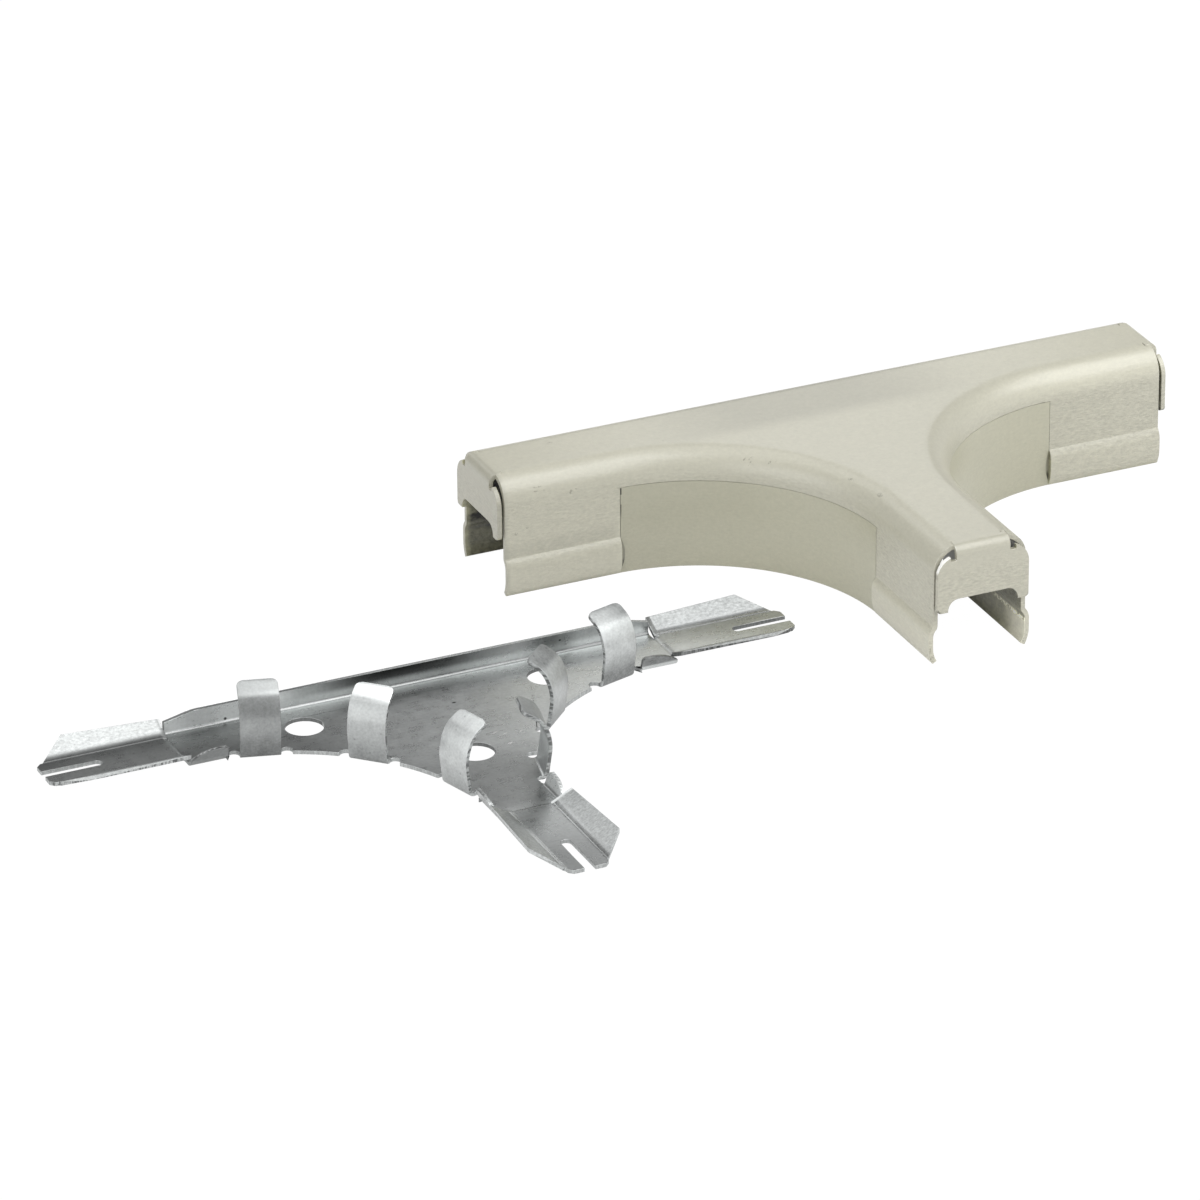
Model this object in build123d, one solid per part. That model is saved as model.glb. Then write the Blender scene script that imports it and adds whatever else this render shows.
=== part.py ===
"""Flat tee fitting for one-piece steel surface raceway, shown taken apart.

A painted cover, drawn and folded from sheet with two welded curved strips in its throats,
lies beside the plated base plate that it clips over.
Millimetres, +Z up, both pieces on the floor, origin at the middle of their common footprint.
"""

import math
import os

from build123d import *

os.makedirs("parts", exist_ok=True)

# Cover: run along X, branch along -Y, both measured from the crossing of their axes.
cover_sheet = 1.0
channel_width = 19.6
cover_height = 24.4
arm_reach = 71.2
throat_radius = 38.1
shoulder_radius = 5.2
drawn_depth = 6.1
strip_lead_in = 1.2
strip_sheet = 1.0
strip_seam = 0.15

# Bead along the foot of each straight cover wall.
bead_top = 7.9
bead_out = 0.9
bead_turn = 42.0
bead_crease_radius = 0.4
bead_foot = 3.4
bead_foot_in = 0.9

# Flap folded down over each open end of the cover.
flap_gap = 0.5
flap_fold_radius = 0.8
flap_tab_width = 11.4
flap_inset = 0.1
flap_bottom = 11.0
left_flap_bottom = 12.0
flap_leg_width = 2.35
flap_arch_height = 2.5
flap_arch_radius = 2.2
flap_leg_radius = 0.9
relief_width = 1.2
relief_depth = 1.0

# Base: one stamped plate under the cover, with the same run and branch axes.
base_sheet = 0.8
base_width = 14.2
base_reach = 49.8
wall_clearance = 2.6
bend_radius = 0.6
flange_height = 4.6
flange_taper = 6.0
flange_drop = 1.3
flange_crown = 12.0
screw_hole = 7.4
screw_reach = 24.8
screw_offset = 1.8

# Spring fingers round each throat of the base.
finger_angles = (16.3, 44.9, 73.6)
right_finger_angles = (16.3, 44.9, 72.4)
last_finger_twist = 5.0
finger_clearance = 1.3
finger_width = 7.7
finger_lean = 7.9
finger_upright = 4.1
finger_curl_radius = 8.8
finger_curl_angle = 29.0
finger_hook_radius = 4.0
finger_hook_angle = 33.3
finger_tip = 2.4
finger_corner = 1.2
notch_radius = 1.1

# Ears beside the mouth of each base arm.
ear_length = 7.5
ear_height = 3.3
ear_lean = 20.0
ear_tip_height = 1.3
ear_flat = 4.2
ear_crown = 8.0
ear_corner = 0.8

# Springy tongue that slides into the raceway at each base arm.
tongue_reach = 76.3
tongue_lift = 0.5
joggle_length = 1.2
strip_width = 8.2
wing_angle = 27.0
wing_bend_radius = 1.0
wing_root_width = 16.4
wing_width = 18.2
wing_corner_back = 7.0
wing_slit = 0.2
wing_run_out = 1.4
slot_width = 2.1
slot_length = 11.6
tip_chamfer = 0.9

# The base lies this far left of the cover and this far in front of it.
apart_x = 103.5
apart_y = 43.9

half_channel = channel_width / 2
half_base = base_width / 2
half_strip = strip_width / 2
half_flat = half_strip - wing_bend_radius * math.tan(math.radians(wing_angle / 2))
seam_height = cover_height - drawn_depth
arc_centre = half_channel + throat_radius
strip_end = arc_centre - strip_lead_in
base_edge_radius = throat_radius + strip_sheet + wall_clearance
finger_ring_radius = throat_radius + strip_sheet + finger_clearance
flap_reach = arm_reach + flap_gap + cover_sheet
bend_outside = bend_radius + base_sheet

FAR = 400.0


def bent_section(start, heading, moves, sheet):
    """Section through a bent sheet that lies to the right of a path of straights and bends.

    Each move is (length, None) for a straight or (inside radius, turn) for a bend, in degrees,
    positive to the left.
    """
    x, y = start
    angle = heading
    left = []
    right = []
    for size, turn in moves:
        ahead = (math.cos(math.radians(angle)), math.sin(math.radians(angle)))
        if turn is None:
            after = (x + size * ahead[0], y + size * ahead[1])
            left.append(Line((x, y), after))
            side = (sheet * ahead[1], -sheet * ahead[0])
            right.append(Line((x + side[0], y + side[1]), (after[0] + side[0], after[1] + side[1])))
            x, y = after
            continue
        near = size if turn > 0 else size + sheet
        far = size + sheet if turn > 0 else size
        hand = 1 if turn > 0 else -1
        centre = (x - hand * near * ahead[1], y + hand * near * ahead[0])
        first = angle - hand * 90
        left.append(CenterArc(centre, near, first, turn))
        right.append(CenterArc(centre, far, first, turn))
        angle += turn
        last = math.radians(angle - hand * 90)
        x = centre[0] + near * math.cos(last)
        y = centre[1] + near * math.sin(last)
    caps = [Line(left[0] @ 0, right[0] @ 0), Line(left[-1] @ 1, right[-1] @ 1)]
    return make_face(left + right + caps)


def slab(x0, x1, y0, y1, z0, z1):
    """Box between two corners."""
    return Pos((x0 + x1) / 2, (y0 + y1) / 2, (z0 + z1) / 2) * Box(x1 - x0, y1 - y0, z1 - z0)


def tee_block(half, reach, corner_radius, height, edge_radius):
    """Solid tee with rounded throats and a rounded top edge everywhere but at its three ends."""
    outline = Polyline(
        (-reach, half),
        (reach, half),
        (reach, -half),
        (half, -half),
        (half, -reach),
        (-half, -reach),
        (-half, -half),
        (-reach, -half),
        close=True,
    )
    plan = make_face(outline)
    inner = [v for v in plan.vertices() if abs(v.Y + half) < 0.01 and abs(abs(v.X) - half) < 0.01]
    block = extrude(fillet(inner, corner_radius), height)
    top = block.edges().group_by(Axis.Z)[-1]
    long_edges = [e for e in top if abs(e.center().X) < reach - 0.01 and e.center().Y > 0.01 - reach]
    return fillet(long_edges, edge_radius)


def three_arms(piece):
    """A shape made at the +X end, with its copies at the -X end and at the branch's end."""
    return [piece, mirror(piece, Plane.YZ), Rot(0, 0, -90) * piece]


def cover_pan():
    """Top of the cover with its drawn shoulders, down to the seam, with each arm cut square."""
    long_reach = arm_reach + 10
    outer = tee_block(half_channel, long_reach, throat_radius, cover_height, shoulder_radius)
    inner = tee_block(
        half_channel - cover_sheet,
        long_reach + 10,
        throat_radius + cover_sheet,
        cover_height - cover_sheet,
        shoulder_radius - cover_sheet,
    )
    keep = slab(-arm_reach, arm_reach, -arm_reach, half_channel + 1, seam_height, cover_height)
    return (outer - inner) & keep


def skirt(length):
    """Lower part of a straight wall with its bead, on the +Y side, centred on X."""
    turn = math.radians(bead_turn)
    crown_radius = bead_out / (1 - math.cos(turn)) - bead_crease_radius
    flare = (bead_crease_radius + crown_radius) * math.sin(turn)
    foot_radius = (bead_foot**2 + bead_foot_in**2) / (2 * bead_foot_in)
    foot_turn = math.degrees(math.asin(bead_foot / foot_radius))
    moves = [
        (seam_height - bead_top, None),
        (bead_crease_radius, bead_turn),
        (crown_radius - cover_sheet, -bead_turn),
        (bead_top - flare - bead_foot, None),
        (foot_radius - cover_sheet, -foot_turn),
    ]
    section = bent_section((half_channel, seam_height), -90, moves, cover_sheet)
    return extrude(Plane.YZ * section, length / 2, both=True)


def cover_walls():
    """Straight walls below the seam: the full back wall and two stub walls beside each throat."""
    stub = arm_reach - strip_end
    middle = (arm_reach + strip_end) / 2
    walls = skirt(2 * arm_reach)
    front = mirror(Pos(middle, 0, 0) * skirt(stub), Plane.XZ)
    back = Pos(middle, 0, 0) * skirt(stub)
    walls += front + mirror(front, Plane.YZ)
    walls += Rot(0, 0, -90) * front + Rot(0, 0, -90) * back
    return walls


def end_flap(bottom):
    """Flap at the +X end: a bend from the top sheet, then an arched plate across the mouth."""
    fold_start = arm_reach + flap_gap - flap_fold_radius
    fold_height = cover_height - cover_sheet - flap_fold_radius
    moves = [(1.0, None), (flap_fold_radius, -90), (1.0, None)]
    fold = bent_section((fold_start - 1.0, cover_height), 0, moves, cover_sheet)
    bend = extrude(Plane.XZ * fold, flap_tab_width / 2, both=True)
    half = half_channel - flap_inset
    plate = Pos(0, (bottom + fold_height) / 2) * Rectangle(2 * half, fold_height - bottom)
    shoulder = half - flap_tab_width / 2
    plate = fillet(plate.vertices().group_by(Axis.Y)[-1], shoulder)
    mouth = half - flap_leg_width
    arch = Pos(0, bottom) * Rectangle(2 * mouth, 2 * flap_arch_height)
    arch = fillet(arch.vertices().group_by(Axis.Y)[-1], flap_arch_radius)
    plate -= arch
    feet = plate.vertices().group_by(Axis.Y)[0]
    plate = fillet([v for v in feet if abs(v.X) > mouth + 0.01], flap_leg_radius)
    for side in (-1, 1):
        slot_middle = side * (flap_tab_width + relief_width) / 2
        plate -= Pos(slot_middle, fold_height) * Rectangle(relief_width, 2 * relief_depth)
    flat = extrude(Plane.YZ.offset(arm_reach + flap_gap) * plate, cover_sheet)
    return bend + flat


def flap_relief():
    """What is cut from the +X end of the pan where the flap's tab bends down."""
    fold_start = arm_reach + flap_gap - flap_fold_radius
    half_tab = flap_tab_width / 2
    return slab(fold_start, FAR, -half_tab, half_tab, seam_height, FAR)


def cover():
    """The cover's folded sheet in one piece."""
    body = cover_pan() + cover_walls()
    for cut in three_arms(flap_relief()):
        body -= cut
    right, _, branch = three_arms(end_flap(flap_bottom))
    body += right + branch + mirror(end_flap(left_flap_bottom), Plane.YZ)
    return body


def throat_strip():
    """Curved strip welded under the drawn shoulder of the right throat."""
    ring = Circle(throat_radius + strip_sheet) - Circle(throat_radius)
    quarter = Pos(-FAR / 2, FAR / 2) * Rectangle(FAR, FAR)
    band = extrude(ring & quarter, seam_height)
    band = Pos(arc_centre, -arc_centre, 0) * band
    limit = strip_end - strip_seam
    band &= slab(-limit, limit, -limit, limit, -1, FAR)
    upper = band.edges().group_by(Axis.Z)[-1].filter_by(GeomType.CIRCLE)
    return chamfer(upper.sort_by(SortBy.RADIUS)[0], strip_seam)


def base_plate():
    """Flat of the base: run, branch and the web between them with two curved edges."""
    back = half_base - bend_outside
    web_end = base_reach - ear_length - notch_radius
    plan = Pos(0, -web_end / 2) * Rectangle(2 * web_end, web_end)
    for side in (-1, 1):
        plan -= Pos(side * arc_centre, -arc_centre) * Circle(base_edge_radius)
    plan += Pos(0, (back - half_base) / 2) * Rectangle(2 * base_reach, back + half_base)
    plan += Pos(0, -base_reach / 2) * Rectangle(base_width, base_reach)
    hole = Circle(screw_hole / 2)
    plan -= Pos(-screw_reach, -screw_offset) * hole
    plan -= Pos(screw_reach, -screw_offset) * hole
    plan -= Pos(0, -screw_reach) * hole
    return extrude(plan, base_sheet)


def back_flange():
    """Low stiffening flange bent up along the back of the run, tapered at both ends."""
    moves = [(2.0, None), (bend_radius, 90), (flange_height - bend_outside, None)]
    start = (half_base - bend_outside - 2.0, base_sheet)
    section = bent_section(start, 0, moves, base_sheet)
    strip = extrude(Plane.YZ * section, base_reach, both=True)
    top = base_reach - flange_taper
    low = flange_height - flange_drop
    outline = [(-base_reach, -1), (-base_reach, low), (-top, flange_height)]
    outline += [(-x, z) for x, z in reversed(outline)]
    side = make_face(Polyline(*outline, close=True))
    crown = [v for v in side.vertices() if abs(abs(v.X) - top) < 0.01]
    side = fillet(crown, flange_crown)
    return strip & extrude(Plane.XZ * side, FAR, both=True)


def finger():
    """Spring finger that rises at X = 0, facing +X, and curls back over the plate."""
    root = base_edge_radius - finger_ring_radius + 1.0
    moves = [
        (root, None),
        (bend_radius, 90 - finger_lean),
        (finger_upright, None),
        (finger_curl_radius, finger_lean + finger_curl_angle),
        (finger_hook_radius, finger_hook_angle),
        (finger_tip, None),
    ]
    section = bent_section((-bend_outside - root, base_sheet), 0, moves, base_sheet)
    strip = extrude(Plane.XZ * section, finger_width / 2, both=True)
    tip = [e for e in strip.edges() if abs(e.length - base_sheet) < 0.01 and e.center().Z > finger_upright]
    return fillet(tip, finger_corner)


def finger_places():
    """Positions of the spring fingers round both throats, each facing its throat's centre.

    The last one, at the branch's right edge, stands a little twisted on its root.
    """
    places = []
    for side, angles in ((-1, finger_angles), (1, right_finger_angles)):
        for angle in angles:
            a = math.radians(angle)
            x = side * (arc_centre - finger_ring_radius * math.sin(a))
            y = -arc_centre + finger_ring_radius * math.cos(a)
            turn = math.degrees(math.atan2(-math.cos(a), side * math.sin(a)))
            places.append(Pos(x, y, 0) * Rot(0, 0, turn))
    places[-1] *= Rot(0, 0, last_finger_twist)
    return places


def finger_relief():
    """Plate removed under a finger's bend, and the round-ended notch on each side of it."""
    half = finger_width / 2
    outward = 2 * notch_radius
    gap = slab(-bend_outside, outward, -half, half, -1, 2 * base_sheet)
    notch = Pos(-bend_outside, half + notch_radius, 0) * Cylinder(notch_radius, 4 * base_sheet)
    notch += slab(-bend_outside, outward, half, half + 2 * notch_radius, -1, 2 * base_sheet)
    return gap + notch + mirror(notch, Plane.XZ)


def ear():
    """Small upturned ear on the front edge of the +X arm, at its mouth."""
    moves = [(2.0, None), (bend_radius, 90 - ear_lean), (2 * ear_height, None)]
    section = bent_section((half_base - bend_outside - 2.0, base_sheet), 0, moves, base_sheet)
    inner = base_reach - ear_length
    strip = Pos(inner + ear_length / 2, 0, 0) * extrude(Plane.YZ * section, ear_length / 2, both=True)
    side = make_face(
        Polyline(
            (inner, -1),
            (inner, ear_height),
            (inner + ear_flat, ear_height),
            (base_reach, ear_tip_height),
            (base_reach, -1),
            close=True,
        )
    )
    inner_top = [v for v in side.vertices() if abs(v.X - inner) < 0.01 and v.Y > 0]
    side = fillet(inner_top, ear_corner)
    crown = [v for v in side.vertices() if abs(v.X - inner - ear_flat) < 0.01]
    side = fillet(crown, ear_crown)
    shape = extrude(Plane.XZ * side, FAR, both=True)
    return mirror(strip & shape, Plane.XZ)


def ear_relief():
    """Plate removed under an ear's bend, with the round notch at its inner end."""
    inner = base_reach - ear_length
    gap = slab(inner, FAR, -FAR / 4, bend_outside - half_base, -1, 2 * base_sheet)
    notch = Pos(inner - notch_radius, -half_base, 0) * Cylinder(notch_radius, 4 * base_sheet)
    return gap, notch


def tongue_plan():
    """Outline of the tongue at the +X end: flared wings, slit from the arm, cut back to two prongs."""
    wing_end = tongue_reach - wing_corner_back
    prong = tongue_reach - wing_run_out
    root = base_reach + joggle_length
    upper = [
        (root, half_flat),
        (base_reach + wing_slit, half_flat),
        (base_reach + wing_slit, wing_root_width / 2),
        (wing_end, wing_width / 2),
        (prong, half_strip),
        (tongue_reach - tip_chamfer, half_strip),
        (tongue_reach, half_strip - tip_chamfer),
    ]
    lower = [(x, -y) for x, y in reversed(upper)]
    plan = make_face(Polyline(*upper, *lower, close=True))
    slot_start = tongue_reach - slot_length + slot_width / 2
    slot = Pos(slot_start, 0) * Circle(slot_width / 2)
    slot += Pos((slot_start + FAR) / 2, 0) * Rectangle(FAR - slot_start, slot_width)
    return plan - slot


def tongue():
    """Tongue at the +X end: a lifted strip between two upturned wings, joined by a joggle."""
    moves = [(half_flat, None), (wing_bend_radius, wing_angle), (wing_width, None)]
    top = base_sheet + tongue_lift
    half = extrude(Plane.YZ * bent_section((0, top), 0, moves, base_sheet), FAR)
    trough = half + mirror(half, Plane.XZ)
    trough &= extrude(tongue_plan(), FAR)
    root = base_reach + joggle_length
    step = Polyline(
        (base_reach - 1, 0),
        (base_reach, 0),
        (root, tongue_lift),
        (root + 1, tongue_lift),
        (root + 1, top),
        (root, top),
        (base_reach, base_sheet),
        (base_reach - 1, base_sheet),
        close=True,
    )
    joggle = extrude(Plane.XZ * make_face(step), half_flat, both=True)
    return trough + joggle


def base():
    """The base's stamped and folded sheet in one piece."""
    body = base_plate()
    for place in finger_places():
        body -= place * finger_relief()
    gap, notch = ear_relief()
    for cut in (gap, notch):
        body -= cut
        body -= mirror(cut, Plane.YZ)
        body -= Rot(0, 0, -90) * cut
        body -= mirror(Rot(0, 0, -90) * cut, Plane.YZ)
    body += back_flange()
    for place in finger_places():
        body += place * finger()
    right = ear()
    branch = Rot(0, 0, -90) * right
    body += right + mirror(right, Plane.YZ) + branch + mirror(branch, Plane.YZ)
    for arm in three_arms(tongue()):
        body += arm
    return body


# Both pieces share one footprint, whose middle is the origin.
left = -apart_x - tongue_reach
right = flap_reach
back = half_channel + bead_out
front = min(-apart_y - tongue_reach, -flap_reach)
cover_place = Pos(-(left + right) / 2, -(front + back) / 2, 0)
base_place = cover_place * Pos(-apart_x, -apart_y, 0)

strip = throat_strip()
pieces = {
    "cover": cover_place * cover(),
    "right_throat_strip": cover_place * strip,
    "left_throat_strip": cover_place * mirror(strip, Plane.YZ),
    "base": base_place * base(),
}
for name, shape in pieces.items():
    export_step(shape, f"parts/{name}.step")
    box = shape.bounding_box()
    print(name, len(shape.solids()), round(shape.volume, 1), box.min, box.max)
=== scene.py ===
"""Looks of a radiused flat tee for steel surface raceway, taken apart: painted cover and plated base."""

import math

import bmesh
import bpy
from bpy.props import FloatProperty, FloatVectorProperty, PointerProperty
from mathutils import Matrix, Vector
from mathutils.bvhtree import BVHTree
from mathutils.kdtree import KDTree


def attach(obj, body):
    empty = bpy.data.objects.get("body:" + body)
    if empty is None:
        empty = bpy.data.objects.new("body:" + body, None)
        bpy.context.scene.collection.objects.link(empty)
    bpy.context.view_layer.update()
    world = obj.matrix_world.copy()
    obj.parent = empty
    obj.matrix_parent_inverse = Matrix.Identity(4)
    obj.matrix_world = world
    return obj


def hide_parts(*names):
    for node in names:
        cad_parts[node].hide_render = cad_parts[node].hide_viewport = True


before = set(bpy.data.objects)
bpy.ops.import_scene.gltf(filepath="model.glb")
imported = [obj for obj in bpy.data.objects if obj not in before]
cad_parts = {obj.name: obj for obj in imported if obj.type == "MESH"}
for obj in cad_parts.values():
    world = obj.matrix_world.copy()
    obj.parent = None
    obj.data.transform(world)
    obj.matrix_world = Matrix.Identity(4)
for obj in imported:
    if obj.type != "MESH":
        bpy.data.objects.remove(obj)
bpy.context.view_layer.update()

bl_info = {
    "name": "Raceway flat tee",
    "version": (1, 0, 0),
    "blender": (4, 5, 0),
    "location": "View3D > Sidebar > Raceway tee",
    "description": "Painted cover and sprung base plate of a steel raceway tee, with its studio stage",
    "category": "Add Mesh",
}

MM = 0.001

# Crossing of the run and branch axes of each piece, as the source lays them out.
COVER_CENTRE = Vector((53.55, 54.75, 0.0)) * MM
BASE_CENTRE = Vector((-49.95, 10.85, 0.0)) * MM

# Sizes shared with the solids. Reaches are measured from a piece's crossing.
COVER_SHEET = 1.0 * MM
BASE_SHEET = 0.8 * MM
STRIP_SHEET = 1.0 * MM
COVER_HALF = 9.8 * MM
THROAT_RADIUS = 38.1 * MM
THROAT_CENTRE = COVER_HALF + THROAT_RADIUS
BEND_OUTSIDE = 1.4 * MM
ARM_REACH = 71.2 * MM
SEAM_REACH = 46.71 * MM
TONGUE_ROOT = 51.0 * MM
JOGGLE = 1.0 * MM
SCREW_REACH = 24.8 * MM
THROATS = 2
FINGERS = 3

# Points along a finger and along a strip.
FINGER_POINTS = 97
STRIP_POINTS = 73

# Distances that only have to be smaller than anything that is made.
TINY = 1e-6
HAIR = 1e-5

# Colours of marks and lights.
WHITE = (1.0, 1.0, 1.0, 1.0)
# Colour of the painted highlight on a flap's rim.
HIGHLIGHT_CREAM = (1.0, 1.0, 0.97, 1.0)
SPECK = (0.26, 0.25, 0.20, 1.0)
SCUFF = (0.17, 0.16, 0.12, 1.0)
SEAM_AND_GAP_SHADE = (0.035, 0.033, 0.022, 1.0)
PIT = (0.02, 0.02, 0.02, 1.0)
FINGER_PIT = (0.10, 0.10, 0.10, 1.0)
FLOOR_GREY = (0.9, 0.9, 0.9, 1.0)

# The photographed view: bearing, height and roll in degrees, and the eye's place from the cover's
# crossing along the picture's own right, up and back, in metres.
VIEW_AZIMUTH = -24.3396
VIEW_ELEVATION = 26.0852
VIEW_ROLL = -0.4425
VIEW_PLACE = (-0.04249, -0.01795, 1.58185)
FILM_WIDTH = 36.0

# Soft boxes: name, setting of the power, place and aim in metres, width, height, roll in degrees.
SOFT_BOXES = (
    ("overhead box", "overhead_power", (-0.1, 0.35, 1.1), (-0.1, 0.35, 0.0), 1.1, 1.7, 15.0),
    ("key box", "key_power", (0.60, -0.58, 1.12), (0.0, 0.0, 0.0), 1.2, 1.2, 0.0),
    ("fill box", "fill_power", (-1.1, -0.25, 0.5), (0.0, 0.0, 0.0), 1.2, 0.8, 0.0),
    ("card", "card_power", (0.19, 0.34, 0.19), (0.0, 0.0, 0.0), 0.12, 0.15, 0.0),
    ("back box", "back_power", (-0.18, 1.0, 0.68), (0.0, 0.0, 0.0), 0.35, 0.3, 0.0),
)


# Node building


class Socket:
    """A node's output that takes part in Python arithmetic by adding Math nodes."""

    def __init__(self, graph, link):
        self.graph = graph
        self.link = link

    def output(self, name):
        """Another output of the same node."""
        return Socket(self.graph, self.link.node.outputs[name])

    def math(self, operation, *others):
        return self.graph.node("ShaderNodeMath", {"operation": operation}, (self, *others))

    def __add__(self, other):
        return self.math("ADD", other)

    __radd__ = __add__

    def __sub__(self, other):
        return self.math("SUBTRACT", other)

    def __rsub__(self, other):
        return self.graph.node("ShaderNodeMath", {"operation": "SUBTRACT"}, (other, self))

    def __mul__(self, other):
        return self.math("MULTIPLY", other)

    __rmul__ = __mul__

    def __truediv__(self, other):
        return self.math("DIVIDE", other)

    def __rtruediv__(self, other):
        return self.graph.node("ShaderNodeMath", {"operation": "DIVIDE"}, (other, self))

    def __neg__(self):
        return self.math("MULTIPLY", -1.0)

    def __pow__(self, other):
        return self.math("POWER", other)

    def __gt__(self, other):
        return self.math("GREATER_THAN", other)

    def low(self, other):
        return self.math("MINIMUM", other)

    def high(self, other):
        return self.math("MAXIMUM", other)

    def clamp(self):
        return self.high(0.0).low(1.0)

    def sin(self):
        return self.math("SINE")

    def cos(self):
        return self.math("COSINE")

    def size(self):
        return self.math("ABSOLUTE")

    def smooth(self, low, high):
        """0 below low, 1 above high, with a soft step between."""
        return self.graph.node(
            "ShaderNodeMapRange",
            {"interpolation_type": "SMOOTHSTEP", "clamp": True},
            {"Value": self, "From Min": low, "From Max": high, "To Min": 0.0, "To Max": 1.0},
        )

    def past(self, low, high):
        """The same step with its ends in millimetres."""
        return self.smooth(low * MM, high * MM)

    def until(self, low, high):
        """1 below low, 0 above high, with the ends in millimetres."""
        return 1.0 - self.past(low, high)


class Graph:
    """A shader or geometry tree that nodes are added to by one method."""

    def __init__(self, tree):
        self.tree = tree
        tree.nodes.clear()

    def node(self, kind, settings=None, inputs=(), output=0):
        """Adds a node, sets it up, fills its sockets with values or links, and gives an output."""
        node = self.tree.nodes.new(kind)
        row, column = divmod(len(self.tree.nodes), 12)
        node.location = (200.0 * column, -220.0 * row)
        for name, value in (settings or {}).items():
            setattr(node, name, value)
        pairs = inputs.items() if isinstance(inputs, dict) else enumerate(inputs)
        for name, value in pairs:
            if isinstance(value, Socket):
                self.tree.links.new(value.link, node.inputs[name])
            elif value is not None:
                node.inputs[name].default_value = value
        return Socket(self, node.outputs[output]) if len(node.outputs) else node

    def blend(self, factor, first, second, kind="MIX"):
        """One colour turned into another by a factor. The colours are the node's sockets 6 and 7."""
        return self.node(
            "ShaderNodeMix",
            {"data_type": "RGBA", "blend_type": kind},
            {"Factor": factor, 6: first, 7: second},
            2,
        )

    def tint(self, colour, tone):
        """A colour scaled by a value."""
        grey = self.node("ShaderNodeCombineXYZ", None, (tone, tone, tone))
        return self.blend(1.0, colour, grey, "MULTIPLY")

    def axes(self, place):
        """The x, y and z of a place or direction."""
        x = self.node("ShaderNodeSeparateXYZ", None, (place,))
        return x, x.output("Y"), x.output("Z")

    def vector(self, operation, *others, output=0):
        return self.node("ShaderNodeVectorMath", {"operation": operation}, others, output)

    def stretched(self, place, scale):
        """A place multiplied by a scale on each axis."""
        return self.vector("MULTIPLY", place, scale)

    def noise(self, place, scale, detail=3.0, roughness=0.55):
        return self.node(
            "ShaderNodeTexNoise",
            {"noise_dimensions": "3D"},
            {"Vector": place, "Scale": scale, "Detail": detail, "Roughness": roughness},
        )

    def cells(self, place, scale):
        """Distance to the nearest of many scattered points."""
        points = {"Vector": place, "Scale": scale}
        return self.node("ShaderNodeTexVoronoi", {"feature": "F1"}, points, "Distance")


class Material(Graph):
    """A surface material whose coordinates are the object's own, in metres."""

    def __init__(self, name):
        self.material = bpy.data.materials.new(name)
        self.material.use_nodes = True
        super().__init__(self.material.node_tree)
        self.place = self.node("ShaderNodeTexCoord", None, (), "Object")

    def axes_from(self, centre):
        """The x, y and z of the surface's place, measured from a piece's crossing."""
        return self.axes(self.vector("SUBTRACT", self.place, centre))

    def facing(self):
        """The x, y and z of the direction that the surface faces."""
        return self.axes(self.node("ShaderNodeTexCoord", None, (), "Normal"))

    def surface(self, bump=None, **sockets):
        """Ends the tree in one shader; a height in metres gives its bump."""
        names = {name.replace("_", " "): value for name, value in sockets.items()}
        if bump is not None:
            raised = {"Strength": 1.0, "Distance": 1.0, "Height": bump}
            names["Normal"] = self.node("ShaderNodeBump", None, raised)
        shader = self.node("ShaderNodeBsdfPrincipled", None, names)
        self.node("ShaderNodeOutputMaterial", None, {"Surface": shader})
        return self.material

    def marks(self, spots):
        """Mask of small oval marks: (place, half sizes along x, y and z, heading in degrees)."""
        total = None
        for place, halves, heading in spots:
            oval = {
                "Vector": self.place,
                "Location": Vector(place) * MM,
                "Rotation": (0.0, 0.0, math.radians(heading)),
                "Scale": Vector(halves) * MM,
            }
            mapped = self.node("ShaderNodeMapping", {"vector_type": "TEXTURE"}, oval)
            away = self.vector("LENGTH", mapped, output="Value")
            spot = 1.0 - away.smooth(0.55, 1.1)
            total = spot if total is None else total.high(spot)
        return total


# Finishes

# A tone is a factor on a finish's colour, and a mask runs from 0 to 1. The weights of the masks were set
# one by one. Places on the cover are on the shared axes, places on the base start at its crossing.

# Scuffs on the cover and scratches on the plate: place in mm, half sizes in mm, heading.
COVER_SCUFFS = (
    ((-2.5, 57.6, 24.4), (0.75, 0.45, 0.45), 10.0),
    ((-10.5, 45.5, 21.7), (1.05, 0.45, 0.18), 0.0),
    ((-10.9, 45.2, 21.0), (0.52, 0.45, 0.18), 0.0),
    ((-3.6, 45.0, 19.5), (0.52, 0.45, 0.6), 0.0),
    ((-2.6, 45.0, 19.9), (0.38, 0.45, 0.22), 0.0),
    ((-12.9, 45.0, 13.8), (0.38, 0.45, 0.3), 0.0),
    ((-15.3, 45.0, 12.9), (0.45, 0.45, 0.45), 0.0),
    ((29.9, 37.9, 22.5), (0.8, 0.16, 0.7), 8.0),
    ((31.2, 37.4, 22.6), (0.9, 0.13, 0.7), 4.0),
    ((30.5, 36.8, 22.3), (0.7, 0.15, 0.7), 10.0),
    ((33.8, 34.5, 22.7), (0.5, 0.2, 0.5), 0.0),
    ((35.0, 33.9, 22.7), (0.4, 0.14, 0.5), 6.0),
    ((43.9, 19.4, 23.4), (0.45, 0.75, 0.45), 20.0),
    ((45.8, 10.7, 23.5), (0.6, 0.9, 0.45), 15.0),
    ((43.9, -17.2, 18.7), (0.45, 0.75, 0.6), 0.0),
    ((43.5, -16.5, 0.9), (0.5, 0.6, 0.9), 0.0),
    ((43.1, -16.5, 3.2), (0.25, 0.5, 1.0), 0.0),
)
PLATE_PITS = (
    ((-87.4, 17.2, 1.5), (0.35, 0.4, 0.35), 0.0),
    ((-45.5, 6.2, 0.8), (0.5, 0.3, 0.2), 0.0),
    ((-62.0, 9.5, 0.8), (0.3, 0.25, 0.2), 0.0),
    ((-18.7, 17.2, 3.3), (0.3, 0.3, 0.2), 0.0),
)
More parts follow.
